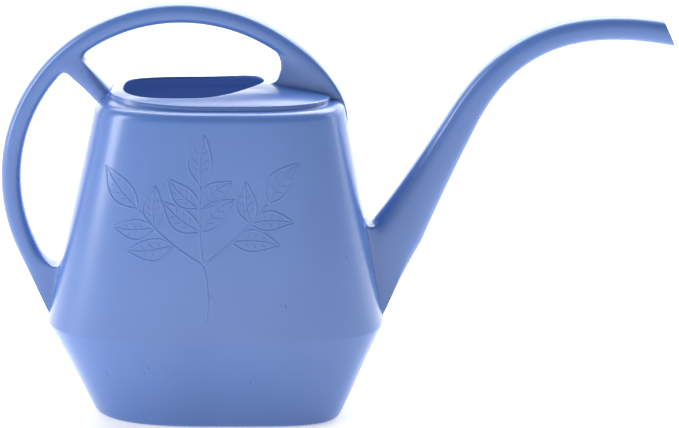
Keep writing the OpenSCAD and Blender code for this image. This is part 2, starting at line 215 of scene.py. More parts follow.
def squircle(u, n):
    """Height of a unit superellipse of exponent n at u."""
    return (1 - np.abs(u) ** n) ** (1 / n)


def bezier(a, b, c, t):
    return (1 - t) ** 2 * a + 2 * t * (1 - t) * b + t * t * c


def hermite(a, b, leave, arrive, t):
    return (
        (2 * t**3 - 3 * t**2 + 1) * a + (t**3 - 2 * t**2 + t) * leave
        + (3 * t**2 - 2 * t**3) * b + (t**3 - t**2) * arrive
    )


def turn(degrees):
    """Unit vector in the can's middle plane, anticlockwise from +X."""
    a = math.radians(degrees)
    return np.array([math.cos(a), 0, math.sin(a)])


# ---------- outlines: centre x, half length, half width, rear and front roundness ----------


def outline(shift, length, width, rounds):
    return np.array([shift, length / 2, width / 2, *rounds])


def inset(shape, d):
    return shape - np.array([0, d, d, 0, 0])


panel_outline = outline(0, panel_high[0] - panel_low[0], panel_high[1] - panel_low[1], BASE_ROUND)
base_outline = inset(panel_outline, -(HEEL_R + LAND_W))
waist_outline = outline(
    (tub_low[0] + tub_high[0]) / 2, tub_high[0] - tub_low[0], tub_high[1] - tub_low[1], WAIST_ROUND
)
shoulder_outline = outline(
    SHOULDER_SHIFT, SHOULDER_L, dome_high[1] - dome_low[1] + 2 * COLLAR_INSET, SHOULDER_ROUND
)
dome_outline = inset(shoulder_outline, COLLAR_INSET + COLLAR_R)
mouth_x = dome_outline[0] - dome_outline[1] + MOUTH_LIP + MOUTH_L / 2
mouth_outline = outline(mouth_x, MOUTH_L, MOUTH_W, MOUTH_ROUND)


def wall_outline(z):
    if z < WAIST_Z:
        return lerp(base_outline, waist_outline, z / WAIST_Z)
    return lerp(waist_outline, shoulder_outline, (z - WAIST_Z) / (SHOULDER_Z - WAIST_Z))


def rear_lift(x):
    return REAR_RISE * ((dome_outline[0] - x) / dome_outline[1]).clip(0) ** 2


def dome_height(x, y):
    n = np.where(x > dome_outline[0], dome_outline[4], dome_outline[3])
    rho = (np.abs((x - dome_outline[0]) / dome_outline[1]) ** n + np.abs(y / dome_outline[2]) ** n) ** (1 / n)
    return COLLAR_Z + DOME_H * (1 - rho**2) + rear_lift(x)


def end_x(shape, y, front):
    reach = shape[1] * squircle(y / shape[2], shape[4] if front else shape[3])
    return shape[0] + (reach if front else -reach)


def quarter_points(shape, front):
    """Points from the end of the can to the middle of its +Y side."""
    n = shape[4] if front else shape[3]
    sign = 1 if front else -1
    first = math.asin((END_Y[-1] / shape[2]) ** (n / 2))
    t = np.linspace(first, math.pi / 2, FINE_STEPS)
    x = shape[0] + sign * shape[1] * np.cos(t).clip(0) ** (2 / n)
    y = shape[2] * np.sin(t) ** (2 / n)
    length = run_along(np.stack([x, y], 1))
    even = steps_after(0, length[-1], ARC_STEPS)
    steps = np.stack([np.interp(even, length, x), np.interp(even, length, y)], 1)
    ends = np.stack([end_x(shape, END_Y, front), END_Y], 1)
    return np.concatenate([ends, steps])


class Level:
    """One level of the body: an outline at a height z, or on the dome where z is None.

    drop lowers it under the dome, and lift is its share of the rise towards the strut."""

    def __init__(self, shape, z, drop=0.0, lift=0.0):
        self.shape, self.z, self.drop, self.lift = shape, z, drop, lift

    def height(self, x, y):
        return dome_height(x, y) - self.drop if self.z is None else self.z + self.lift * rear_lift(x)

    def end_points(self, y, front):
        x = end_x(self.shape, y, front)
        return np.stack([x, y, self.height(x, y)], -1)

    def ring(self):
        half = np.concatenate([quarter_points(self.shape, True), quarter_points(self.shape, False)[-2::-1]])
        flat = np.concatenate([half, (half * [1, -1])[-2:0:-1]])
        return np.column_stack([flat, self.height(flat[:, 0], flat[:, 1])])


# ---------- the body's levels, outside and inside, from the floor up to the mouth ----------

levels = []
mark = {}


def add(outer, inner, name=None):
    if name:
        mark[name] = len(levels)
    levels.append((outer, inner))


def add_wall(z, name=None):
    add(Level(wall_outline(z), z), Level(inset(wall_outline(z), WALL), z), name)


base_inset = HEEL_R + LAND_W
add(Level(inset(base_outline, base_inset), 0), Level(inset(base_outline, base_inset), WALL))
for a in np.linspace(math.pi / 2, 0, HEEL_ROWS):
    low, high = HEEL_R * (1 - math.sin(a)), HEEL_R - (HEEL_R - WALL) * math.sin(a)
    add(
        Level(inset(wall_outline(low), HEEL_R * (1 - math.cos(a))), low),
        Level(inset(wall_outline(high), HEEL_R - (HEEL_R - WALL) * math.cos(a)), high),
    )
for z in steps_after(HEEL_R, WAIST_Z - CREASE, TUB_STEPS)[:-1]:
    add_wall(z)
for i, t in enumerate(np.linspace(0, 1, CREASE_STEPS + 1)):
    shape = bezier(wall_outline(WAIST_Z - CREASE), waist_outline, wall_outline(WAIST_Z + CREASE), t)
    z = WAIST_Z + CREASE * (2 * t - 1)
    add(Level(shape, z), Level(inset(shape, WALL), z), "waist" if i == CREASE_STEPS // 2 else None)

add_wall(WEB_Z - LOW_FILLET, "web")
stretch_z = WEB_Z - LOW_FILLET
for name, top_z, steps in (
    ("rear_top", REAR_WEB_Z + REAR_GAP_FILLET, WINDOW_STEPS),
    ("spout_top", SPOUT_WEB_Z + NOTCH_FILLET, NOTCH_STEPS),
    ("front_low", SHOULDER_Z - FRONT_WEB_DROP - WEB_FILLET, UPPER_STEPS),
    ("shoulder", SHOULDER_FOOT_Z, WEB_STEPS),
):
    for z in steps_after(stretch_z, top_z, steps):
        add_wall(z)
    mark[name] = len(levels) - 1
    stretch_z = top_z
mark["strut_low"] = mark["shoulder"] - 1
for a in steps_after(0, math.pi / 2, EDGE_STEPS):
    z_out = SHOULDER_FOOT_Z + SHOULDER_R * math.sin(a)
    z_in = SHOULDER_FOOT_Z + (SHOULDER_R - WALL) * math.sin(a)
    lift = (1 - math.cos(a)) / 2
    add(
        Level(inset(wall_outline(z_out), SHOULDER_R * (1 - math.cos(a))), z_out, lift=lift),
        Level(inset(wall_outline(z_in), SHOULDER_R - (SHOULDER_R - WALL) * math.cos(a)), z_in, lift=lift),
    )


def add_collar(depth, z, depth_in, z_in, name=None):
    lift = lerp(0.5, 1.0, ((depth - SHOULDER_R) / (COLLAR_INSET - SHOULDER_R)).clip(0, 1))
    add(Level(inset(shoulder_outline, depth), z, lift=lift),
        Level(inset(shoulder_outline, depth_in), z_in, lift=lift), name)


ledge_middle = lerp(SHOULDER_R, COLLAR_INSET - COVE, 0.5)
add_collar(ledge_middle, SHOULDER_Z, ledge_middle, SHOULDER_Z - WALL)
for t in np.linspace(0, 1, 3):
    depth = bezier(COLLAR_INSET - COVE, COLLAR_INSET, COLLAR_INSET, t)
    z = SHOULDER_Z + bezier(0, 0, COVE, t)
    add_collar(depth, z, lerp(depth, COLLAR_INSET + WALL, t), z - WALL * (1 - t),
               "collar" if t == 0 else None)
inside_z = COLLAR_Z - COLLAR_R - INNER_DROP
add_collar(COLLAR_INSET, COLLAR_Z - COLLAR_R, COLLAR_INSET + WALL, inside_z)
for t in steps_after(0, 1, 3):
    depth = bezier(COLLAR_INSET, COLLAR_INSET, COLLAR_INSET + COLLAR_R, t)
    z = bezier(COLLAR_Z - COLLAR_R, COLLAR_Z, COLLAR_Z, t)
    add_collar(depth, z, COLLAR_INSET + WALL + INNER_RUN * t, lerp(inside_z, COLLAR_Z - WALL, t),
               "collar_top" if t == 1 else None)

for t in DOME_SHARES:
    shape = lerp(dome_outline, mouth_outline, t)
    add(Level(shape, None), Level(shape, None, WALL), {STRUT_TOP: "strut_top", FRONT_TOP: "front_top"}.get(t))
for a in np.linspace(0, math.pi / 2, LIP_ROWS):
    shape = inset(mouth_outline, -LIP_ROUND * (1 - math.sin(a)))
    add(Level(shape, None, LIP_ROUND * (1 - math.cos(a))), Level(shape, None, WALL))
LAST = len(levels) - 1

grids = [np.array([pair[skin].ring() for pair in levels]) for skin, _ in SKINS]


class Window:
    """An opening in the body's grid, where a limb leaves it.

    edge is the loop of grid points around it, and core is the limb's own outline on the body: a fillet
    runs from one to the other. p across and q up, from -1 to 1, place each point on the limb's section."""

    def __init__(self, first, last, middle, k, limb_half, low, high):
        self.first, self.last, self.middle, self.k = first, last, middle, k
        self.front = middle == FRONT
        side = 1 if self.front else -1
        steps = last - first
        across = list(range(-k, k))
        up = list(range(steps))
        self.rows = np.array([first] * 2 * k + [first + i for i in up]
                             + [last] * 2 * k + [last - i for i in up])
        offs = np.array(across + [k] * steps + [-c for c in across] + [-k] * steps)
        self.cols = (middle + offs) % COLUMNS
        self.p = np.sign(offs) * END_Y[np.abs(offs)] / END_Y[k]
        # The limb's ring has its side points at even steps
        self.q_ring = 2 * (self.rows - first) / steps - 1
        self.run = run_along(grids[0][:, middle])
        q = (self.run[self.rows] - self.run[first]) / (self.run[last] - self.run[first])
        self.q = 2 * q - 1
        self.edge, self.core = [], []
        for skin, thin in SKINS:
            self.edge.append(grids[skin][self.rows, self.cols])
            y = side * self.p * (limb_half - thin)
            s = lerp(self.run[first] + low, self.run[last] - high - thin, q)
            self.core.append(self.surface(skin, y, s))

    def surface(self, skin, y, s):
        """Points on the end of the body at widths y and distances s along its middle line."""
        at = np.interp(s, self.run, np.arange(len(self.run)))
        out = np.empty((len(y), 3))
        for m, (i, f) in enumerate(zip(np.floor(at).astype(int), at % 1)):
            a, b = levels[i][skin], levels[min(i + 1, LAST)][skin]
            out[m] = lerp(a.end_points(y[m], self.front), b.end_points(y[m], self.front), f)
        return out

    def holds(self, i, j):
        """Whether the grid face at row i and column j is cut out by this opening."""
        off = (j - self.middle + COLUMNS + QUARTER) % COLUMNS - QUARTER
        return self.first <= i < self.last and -self.k <= off < self.k


half_hoop = HOOP_W / 2
rear_window = Window(mark["web"], mark["rear_top"], REAR, HANDLE_K, half_hoop, LOW_FILLET, REAR_GAP_FILLET)
spout_window = Window(mark["web"], mark["spout_top"], FRONT, SPOUT_K, SPOUT_W / 2, LOW_FILLET, NOTCH_FILLET)
front_window = Window(mark["front_low"], mark["front_top"], FRONT, HANDLE_K, half_hoop,
                      WEB_FILLET, FRONT_TOP_FILLET)
strut_window = Window(mark["strut_low"], mark["strut_top"], REAR, HANDLE_K, half_hoop,
                      STRUT_FOOT_FILLET + SHOULDER_FOOT_Z - levels[mark["strut_low"]][0].z, STRUT_FOOT_FILLET)
windows = (rear_window, spout_window, front_window, strut_window)


# ---------- patches of surface, each kept with its inner copy ----------

pieces = {}


def grid_faces(rows, cols, skip=lambda i, j: False, base=0):
    """Quads between the rows of a grid whose rows close on themselves."""
    faces = []
    for i in range(rows - 1):
        for j in range(cols):
            if not skip(i, j):
                k = (j + 1) % cols
                faces.append((base + i * cols + j, base + i * cols + k,
                              base + (i + 1) * cols + k, base + (i + 1) * cols + j))
    return faces


def keep(name, outer, inner, faces):
    """Stores a patch without the points that no face uses."""
    used = np.unique(np.concatenate([np.array(f) for f in faces]))
    new = np.full(len(outer), -1)
    new[used] = np.arange(len(used))
    pieces[name] = (outer[used], inner[used], [tuple(int(new[v]) for v in f) for f in faces])


def keep_rows(name, outer, inner, skip=lambda i, j: False):
    outer, inner = np.asarray(outer), np.asarray(inner)
    keep(name, outer.reshape(-1, 3), inner.reshape(-1, 3), grid_faces(*outer.shape[:2], skip))


def keep_body(name, first, last):
    keep_rows(
        name, grids[0][first:last + 1], grids[1][first:last + 1],
        lambda i, j: any(w.holds(i + first, j) for w in windows),
    )


def section(centre, side, up, half_w, half_t, p, q):
    """A limb's cross-section: p across and q up run over a square, which the section rounds off."""
    corner = 0.5 ** (1 / TUBE_ROUND)
    on_edge = np.abs(q) > 1 - TINY
    u = np.where(on_edge, p * corner, np.sign(p) * squircle(q * corner, TUBE_ROUND))
    v = np.where(on_edge, np.sign(q) * squircle(p * corner, TUBE_ROUND), q * corner)
    return centre + half_w * u[:, None] * side + half_t * v[:, None] * up


def limb_rows(edge, core, end, leave_dir, arrive_dir, steps):
    """Rows from an opening's edge, round a fillet at the core loop, and on to the limb's section."""
    reach = np.linalg.norm(end - core, axis=1, keepdims=True)
    leave, arrive = unit(leave_dir) * reach, arrive_dir * reach

    def path(t):
        return hermite(core, end, leave, arrive, t)

    start = (np.linalg.norm(edge - core, axis=1, keepdims=True) / reach).clip(0, 0.5)
    rows = [bezier(edge, core, path(start), t) for t in np.linspace(0, 1, FILLET_STEPS + 1)]
    return rows + [path(lerp(start, 1, t)) for t in steps_after(0, 1, steps)]


def fan(q, low_dir, high_dir, toward):
    """Leaving directions: low_dir and high_dir at the opening's edges, towards the section between them."""
    f = ((q + 1) / 2)[:, None]
    low, high = (1 - f) ** 4, f**4
    return unit(low * low_dir + high * high_dir + (1 - low - high) * toward)


# ---------- body ----------


def panel_height(x, y):
    """The crown fades out at 0.85 of the way to the panel's edge."""
    rho = np.sqrt((x / panel_outline[1]) ** 2 + (y / panel_outline[2]) ** 2)
    return PANEL_RISE + PANEL_CROWN * (1 - (rho / 0.85).clip(0, 1) ** 2) ** 2


def make_floor():
    """The floor panel: a step up from the land, a slight crown, and the pinched seam along the middle."""
    rings = [Level(inset(panel_outline, d), z).ring() for d, z in PANEL_STEP[::-1]]
    points = [np.concatenate(rings)]
    start = len(points[0])
    faces = grid_faces(len(rings), COLUMNS)
    # Inside the smallest ring the points lie in lines across the can, one for each pair of its points
    shares = np.linspace(1, 0, 9)[1:-1]
    lines = []
    for j in range(1, REAR):
        x, y = rings[0][j, :2]
        seam = min(SEAM_W, y * 0.5)
        half = np.r_[lerp(seam, y, shares), seam]
        ys = np.r_[half, 0, -half[::-1]]
        ease = np.sqrt(np.clip((y - np.abs(ys)) / 4, 0, 1))
        z = lerp(PANEL_RISE, panel_height(x, ys), ease)
        z[len(half)] -= SEAM_H * min(1.0, y / 6)
        points.append(np.column_stack([np.full(len(ys), x), ys, z]))
        lines.append([j] + [start + i for i in range(len(ys))] + [COLUMNS - j])
        start += len(ys)
    for a, b in zip(lines, lines[1:]):
        faces += [(a[i], a[i + 1], b[i + 1], b[i]) for i in range(len(a) - 1)]
    for end, line, flip in ((FRONT, lines[0], False), (REAR, lines[-1], True)):
        for i in range(len(line) - 1):
            tri = (end, line[i + 1], line[i])
            faces.append(tri[::-1] if flip else tri)
    outer = np.concatenate(points)
    keep("base_floor", outer, outer + [0, 0, WALL], faces)


make_floor()
keep_body("tub_wall", 0, mark["waist"])
keep_body("body_wall", mark["waist"], mark["shoulder"])
keep_body("shoulder_edge", mark["shoulder"], mark["collar"])
keep_body("dome_lip", mark["collar"], LAST)

# ---------- handle ----------

ACROSS = np.array([0, 1, 0])
front_end = SHOULDER_SHIFT + SHOULDER_L / 2
hoop_x = front_end + HOOP_PAST - math.sqrt(HOOP_R**2 - (SHOULDER_Z - HOOP_Z) ** 2)
hoop_centre = np.array([hoop_x, 0, HOOP_Z])


def hoop_section(angle, thin, p, q, side=ACROSS):
    size = BEAD_H + HOOP_SLACK + thin
    return section(hoop_centre + HOOP_MID_R * turn(angle), side, -turn(angle),
                   half_hoop - size, HOOP_T / 2 - size, p, q)


def make_web(name, window, angle, side, low_dir, high_dir, arrive):
    grown = []
    for skin, thin in SKINS:
        end = hoop_section(angle, thin, window.p, window.q_ring, side)
        core = window.core[skin]
        dirs = fan(window.q, low_dir, high_dir, unit(end - core))
        grown.append(limb_rows(window.edge[skin], core, end, dirs, arrive, ROOT_STEPS))
    keep_rows(name, *grown)


make_web("handle_front_web", front_window, FRONT_ANGLE, ACROSS, np.array([0, 0, 1]), np.array([1, 0, 0.3]),
         turn(FRONT_ANGLE + 90))
rear_foot = grids[0][mark["web"], REAR]
hoop_back = hoop_centre + HOOP_R * turn(REAR_ANGLE)
make_web("handle_rear_web", rear_window, REAR_ANGLE, -ACROSS, unit(hoop_back - rear_foot),
         np.array([-1, 0, 0]), turn(REAR_ANGLE - 90))

# The strut runs from the middle of its opening back and up to the hoop's inside
strut_dir = turn(180 - STRUT_ANGLE)
strut_up = turn(90 - STRUT_ANGLE)
foot_points = [levels[mark[n]][0].end_points(np.zeros(1), False)[0] for n in ("shoulder", "collar_top")]
strut_start = (foot_points[0] + foot_points[1]) / 2 + strut_up * STRUT_LIFT


def meet_hoop(point):
    """Where a line from a point along the strut meets the hoop's inside: its length and the angle there."""
    across = hoop_centre - point
    ahead = across @ strut_dir
    far = ahead + math.sqrt(ahead**2 - across @ across + HOOP_IN_R**2)
    end = point + strut_dir * far
    return far, math.degrees(math.atan2(end[2] - HOOP_Z, end[0] - hoop_x))


strut_l = meet_hoop(strut_start)[0]
strut_high_turn = meet_hoop(strut_start + strut_up * STRUT_T / 2)[1]
strut_low_turn = meet_hoop(strut_start - strut_up * STRUT_T / 2)[1]
fillet_turn = math.degrees(STRUT_FILLET / HOOP_IN_R)

gap_front, gap_rear = strut_high_turn - fillet_turn, strut_low_turn + fillet_turn
hoop_angles = np.concatenate([
    np.linspace(FRONT_ANGLE, gap_front, HOOP_FRONT_STEPS + 1),
    steps_after(gap_front, gap_rear, GAP_STEPS),
    steps_after(gap_rear, REAR_ANGLE, HOOP_REAR_STEPS),
])
GAP_FIRST = HOOP_FRONT_STEPS
GAP_LAST = GAP_FIRST + GAP_STEPS
ring_p, ring_q = front_window.p, front_window.q_ring
# The gap for the strut reaches round to the middle of the hoop's two flanks
GAP_COL = 2 * HANDLE_K + WINDOW_STEPS // 2
GAP_COLS = 2 * HANDLE_K + WINDOW_STEPS


def in_gap(i, j):
    return GAP_FIRST <= i < GAP_LAST and GAP_COL <= j < GAP_COL + GAP_COLS


hoop_grids = [np.array([hoop_section(a, thin, ring_p, ring_q) for a in hoop_angles]) for _, thin in SKINS]
keep_rows("handle_grip", *hoop_grids, in_gap)


def gap_loop():
    """Around the gap in the strut's own order: hoop row, ring column, p and q."""
    across = range(GAP_COLS)
    up = range(GAP_STEPS)
    steps = [(GAP_LAST, GAP_COL + k) for k in across]
    steps += [(GAP_LAST - i, GAP_COL + GAP_COLS) for i in up]
    steps += [(GAP_FIRST, GAP_COL + GAP_COLS - k) for k in across]
    steps += [(GAP_FIRST + i, GAP_COL) for i in up]
    rows, cols = np.array(steps).T
    run = run_along(hoop_grids[0][GAP_FIRST, GAP_COL:GAP_COL + GAP_COLS + 1])
    return rows, cols, 2 * run[cols - GAP_COL] / run[-1] - 1, 2 * (GAP_LAST - rows) / GAP_STEPS - 1


def perimeter(p, q):
    """Where a point lies along the loop, 0 to 4 from the first corner."""
    return np.where(q <= -1 + TINY, (p + 1) / 2,
                    np.where(p >= 1 - TINY, 1 + (q + 1) / 2,
                             np.where(q >= 1 - TINY, 2 + (1 - p) / 2, 3 + (1 - q) / 2)))


def bridge(first_a, run_a, first_b, run_b):
    """Triangles between two rings whose points don't match in number."""
    n, m = len(run_a), len(run_b)
    run_a, run_b = np.r_[run_a, 4], np.r_[run_b, 4]
    i = j = 0
    faces = []
    while i < n or j < m:
        a, b = first_a + i % n, first_b + j % m
        if j == m or (i < n and run_a[i + 1] <= run_b[j + 1]):
            faces.append((a, first_a + (i + 1) % n, b))
            i += 1
        else:
            faces.append((a, first_b + (j + 1) % m, b))
            j += 1
    return faces


# Sections of the strut, as shares of its length: those on its foot's points, and the one where the
# points that grow from the hoop's gap end
STRUT_SHARES = (0.03, 0.1, 0.18)
STRUT_SWAP = 0.24
STRUT_FOOT_STEPS = 4
STRUT_STEPS = 8
FOOT_PULL = 0.3


def make_strut():
    rows, cols, p, q = gap_loop()
    w = strut_window
    skins = []
    for skin, thin in SKINS:
        size = BEAD_H + thin

        def across_strut(share, pp, qq):
            return section(strut_start + strut_dir * strut_l * share, -ACROSS, strut_up,
                           half_hoop - size, STRUT_T / 2 - size, pp, qq)

        foot = across_strut(0.0, w.p, w.q_ring)
        straight = unit(foot - w.core[skin])
        low = limb_rows(w.edge[skin], w.core[skin], foot, straight, straight * FOOT_PULL, STRUT_FOOT_STEPS)
        low += [across_strut(share, w.p, w.q_ring) for share in STRUT_SHARES]
        inner = math.degrees(thin / HOOP_IN_R)
        turns = lerp(strut_low_turn - inner, strut_high_turn + inner, (q + 1) / 2)
        core = np.array([hoop_section(a, thin, ring_p, ring_q)[c] for a, c in zip(turns, cols)])
        high = limb_rows(hoop_grids[skin][rows, cols], core, across_strut(STRUT_SWAP, p, q),
                         -strut_dir[None], -strut_dir, STRUT_STEPS)[::-1]
        skins.append((np.array(low), np.array(high)))
    (low_rows, n), high_shape = skins[0][0].shape[:2], skins[0][1].shape[:2]
    count_low = low_rows * n
    faces = grid_faces(low_rows, n)
    faces += bridge(count_low - n, perimeter(w.p, w.q_ring), count_low, perimeter(p, q))
    faces += grid_faces(*high_shape, base=count_low)
    joined = [np.concatenate([low.reshape(-1, 3), high.reshape(-1, 3)]) for low, high in skins]
    keep("handle_brace", *joined, faces)


make_strut()

# ---------- spout ----------

spout_dir = turn(SPOUT_ANGLE)
spout_up = turn(SPOUT_ANGLE + 90)
outlet_dir = turn(OUTLET_ANGLE)
outlet_up = turn(OUTLET_ANGLE + 90)
notch = np.array([end_x(wall_outline(SPOUT_WEB_Z), 0.0, True) + NOTCH_R, 0, SPOUT_WEB_Z + NOTCH_R])
spout_start = notch - spout_up * SPOUT_T / 2
bend_start = spout_start + spout_dir * SPOUT_STRAIGHT
bend_span = np.linalg.norm(OUTLET - bend_start)
bend_points = (
    bend_start,
    bend_start + spout_dir * bend_span * BEND_PULL_IN,
    OUTLET - outlet_dir * bend_span * BEND_PULL_OUT,
    OUTLET,
)


def bend_point(t):
    a, b, c, d = bend_points
    return (1 - t) ** 3 * a + 3 * (1 - t) ** 2 * t * b + 3 * (1 - t) * t * t * c + t**3 * d


def bend_dir(t):
    a, b, c, d = bend_points
    return unit((1 - t) ** 2 * (b - a) + 2 * (1 - t) * t * (c - b) + t * t * (d - c))


curve_t = np.linspace(0, 1, FINE_STEPS)
curve_run = run_along(np.array([bend_point(t) for t in curve_t]))
spout_length = SPOUT_STRAIGHT + curve_run[-1]


def spout_ring(centre, direction, s, thin):
    """The spout's section at distance s from its root."""
    share = (1 - s / spout_length) ** TAPER
    half_w = lerp(OUTLET_D / 2, SPOUT_W / 2, share) - thin
    half_t = lerp(OUTLET_D / 2, SPOUT_T / 2, share) - thin
    up = np.array([-direction[2], 0, direction[0]])
    return section(centre, ACROSS, up, half_w, half_t, spout_window.p, spout_window.q_ring)


def bend_ring(t, thin):
    s = SPOUT_STRAIGHT + np.interp(t, curve_t, curve_run)
    return spout_ring(bend_point(t), bend_dir(t), s, thin)


# Along the bend, from 0 to 1: where the tip piece begins, and where its rings start to lean to the cut
TIP_FIRST = 11 / 16
TIP_LEAN = 0.82
NECK_STEPS = 25
BEND_STEPS = 35
TIP_STEPS = 6
LEAN_STEPS = 12


def make_spout():
    w = spout_window
    low_dir = unit(spout_start - spout_up * SPOUT_T / 2 - grids[0][mark["web"], FRONT])
    root, neck, bend, tip = [], [], [], []
    for skin, thin in SKINS:
        end = spout_ring(spout_start, spout_dir, 0.0, thin)
        dirs = fan(w.q, low_dir, np.array([1, 0, 0.0]), unit(end - w.core[skin]))
        root.append(limb_rows(w.edge[skin], w.core[skin], end, dirs, spout_dir, ROOT_STEPS))
        neck.append([spout_ring(spout_start + spout_dir * s, spout_dir, s, thin)
                     for s in np.linspace(0, SPOUT_STRAIGHT, NECK_STEPS + 1)])
        bend.append([bend_ring(t, thin) for t in np.linspace(0, TIP_FIRST, BEND_STEPS + 1)])
        rows = [bend_ring(t, thin) for t in np.linspace(TIP_FIRST, TIP_LEAN, TIP_STEPS + 1)]
        last = rows[-1]
        square = spout_ring(OUTLET, outlet_dir, spout_length, thin)
        slide = ((square - OUTLET) @ outlet_up) * math.tan(math.radians(OUTLET_CUT))
        cut = square - slide[:, None] * outlet_dir
        reach = np.linalg.norm(cut - last, axis=1, keepdims=True)
        rows += [hermite(last, cut, bend_dir(TIP_LEAN) * reach, outlet_dir * reach, t)
                 for t in steps_after(0, 1, LEAN_STEPS)]
        tip.append(rows)
    keep_rows("spout_foot", *root)
    keep_rows("spout_tube", *neck)
    keep_rows("spout_curve", *bend)
    keep_rows("spout_mouthpiece", *tip)


make_spout()

# ---------- shared normals and the parting line ----------


def skin_normals(skin):
    """Area-weighted normals of all the pieces' points, shared where pieces meet."""
    points = np.concatenate([p[skin] for p in pieces.values()])
    _, same = np.unique(np.round(points + 3e-5, 3), axis=0, return_inverse=True)
    same = same.reshape(-1)
    total = np.zeros((same.max() + 1, 3))
    start = 0
    for piece in pieces.values():
        v = piece[skin]
        for size in (3, 4):
            f = np.array([f for f in piece[2] if len(f) == size])
            if len(f):
                a, b, c, d = v[f[:, 0]], v[f[:, 1]], v[f[:, 2]], v[f[:, -1]]
                n = np.cross(c - a, d - b) if size == 4 else np.cross(b - a, c - a)
                for k in range(size):
                    np.add.at(total, same[start + f[:, k]], n)
        start += len(v)
    total = unit(total)
    result, start = {}, 0
    for name, piece in pieces.items():
        result[name] = total[same[start:start + len(piece[skin])]]
        start += len(piece[skin])
    return result


def raise_parting_line():
    """Lifts the points of the middle plane into a fine bead, except on the base."""
    normals = skin_normals(0)
    for name, (outer, _, _) in pieces.items():
        on_line = (np.abs(outer[:, 1]) < ON_PLANE) & (outer[:, 2] > HEEL_R / 4)
        outer[on_line] += BEAD_H * normals[name][on_line]


raise_parting_line()
outer_normals = skin_normals(0)
inner_normals = skin_normals(1)

# ---------- materials ----------

TINTS = ((0.076, 0.172, 0.480, 1), (0.086, 0.188, 0.510, 1))
# Colour of the painted glow on the inside of the wall, painted light that stands in for light through the
# wall
PAINTED_GLOW_TINT = (0.080, 0.150, 0.360, 1)
INSIDE_PAINTED_GLOW = 0.25  # painted light: the inner skin glows faintly, standing in for daylight through the thin wall
GLOSS = (0.24, 0.36)  # range of roughness
DRAG_STRETCH = (0.16, 1, 1)
DRAG_LEAN = -0.6  # radians


def set_inputs(node, **values):
    """Sets sockets named with _ for a space."""
    for socket, value in values.items():
        node.inputs[socket.replace("_", " ")].default_value = value


def shader_nodes(name):
    material = bpy.data.materials.new(name)
    material.use_nodes = True
    nodes, links = material.node_tree.nodes, material.node_tree.links
    return material, nodes, links, nodes["Principled BSDF"]


def moulded_plastic(name, glow=0.0):
    """Semi-gloss blue plastic: uneven colour, orange peel and faint drag marks, and, when a glow strength is
    given, a faint glow that is painted light.
    """
    material, nodes, links, shader = shader_nodes(name)
    set_inputs(shader, Emission_Color=PAINTED_GLOW_TINT, Emission_Strength=glow, IOR=1.58,
               Coat_Weight=0.5, Coat_Roughness=0.2)
    where = nodes.new("ShaderNodeTexCoord")

    def noise(scale, detail, stretch=(1, 1, 1), lean=0.0):
        place = nodes.new("ShaderNodeMapping")
        set_inputs(place, Scale=stretch, Rotation=(0, lean, 0))
        links.new(where.outputs["Object"], place.inputs["Vector"])
        texture = nodes.new("ShaderNodeTexNoise")
        set_inputs(texture, Scale=scale, Detail=detail)
        links.new(place.outputs["Vector"], texture.inputs["Vector"])
        return texture.outputs["Fac"]

    tint = nodes.new("ShaderNodeValToRGB")
    for stop, place, colour in zip(tint.color_ramp.elements, (0.3, 0.7), TINTS):
        stop.position, stop.color = place, colour
    links.new(noise(22, 3), tint.inputs["Fac"])
    links.new(tint.outputs["Color"], shader.inputs["Base Color"])

    gloss = nodes.new("ShaderNodeMapRange")
    set_inputs(gloss, To_Min=GLOSS[0], To_Max=GLOSS[1])
    links.new(noise(90, 4), gloss.inputs["Value"])
    links.new(gloss.outputs["Result"], shader.inputs["Roughness"])

    peel = nodes.new("ShaderNodeBump")
    set_inputs(peel, Strength=0.12, Distance=0.0002)
    links.new(noise(700, 2), peel.inputs["Height"])
    drag = nodes.new("ShaderNodeBump")
    set_inputs(drag, Strength=0.10, Distance=0.0003)
    links.new(noise(120, 3, DRAG_STRETCH, DRAG_LEAN), drag.inputs["Height"])
    links.new(peel.outputs["Normal"], drag.inputs["Normal"])
    links.new(drag.outputs["Normal"], shader.inputs["Normal"])
    return material


plastic = moulded_plastic("blue_plastic")
# The inside material glows faintly: painted light for daylight through the thin wall
plastic_inside_painted_glow = moulded_plastic("blue_plastic_inside", INSIDE_PAINTED_GLOW)

# ---------- meshes ----------


def finish_piece(name, mesh, nodes, materials):
    for polygon in mesh.polygons:
        polygon.use_smooth = True
    for material in materials:
        mesh.materials.append(material)
    piece = bpy.data.objects.new(name, mesh)
    bpy.context.scene.collection.objects.link(piece)
    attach(piece, "root")
    if nodes:
        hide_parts(*nodes)


def rim_faces(faces, count):
    """Faces that close the shell between its outer and its inner boundary."""
    edges = {(f[i], f[(i + 1) % len(f)]) for f in faces for i in range(len(f))}
    return [(b, a, a + count, b + count) for a, b in sorted(edges) if (b, a) not in edges]


def make_piece(name, *nodes):
    """A closed shell: the outer faces, the inner ones turned round, then the rims between them."""
    outer, inner, faces = pieces[name]
    count, skin_count = len(outer), 2 * len(faces)
    everything = faces + [tuple(v + count for v in f[::-1]) for f in faces] + rim_faces(faces, count)
    points = np.concatenate([outer, inner])
    mesh = bpy.data.meshes.new(name)
    mesh.from_pydata((points * MM).tolist(), [], everything)
    finish_piece(name, mesh, nodes, (plastic, plastic_inside_painted_glow))
    # The inner skin takes the material with the painted glow
    for polygon in mesh.polygons[len(faces):skin_count]:
        polygon.material_index = 1
    # Neighbouring pieces share their skins' normals, and the rims stay flat
    normals = np.concatenate([outer_normals[name], -inner_normals[name]])
    loops = [normals[v] for face in everything[:skin_count] for v in face]
    for face in everything[skin_count:]:
        a, b, c = points[face[0]], points[face[1]], points[face[2]]
        loops += [unit(np.cross(b - a, c - b))] * len(face)
    mesh.normals_split_custom_set([tuple(n) for n in loops])


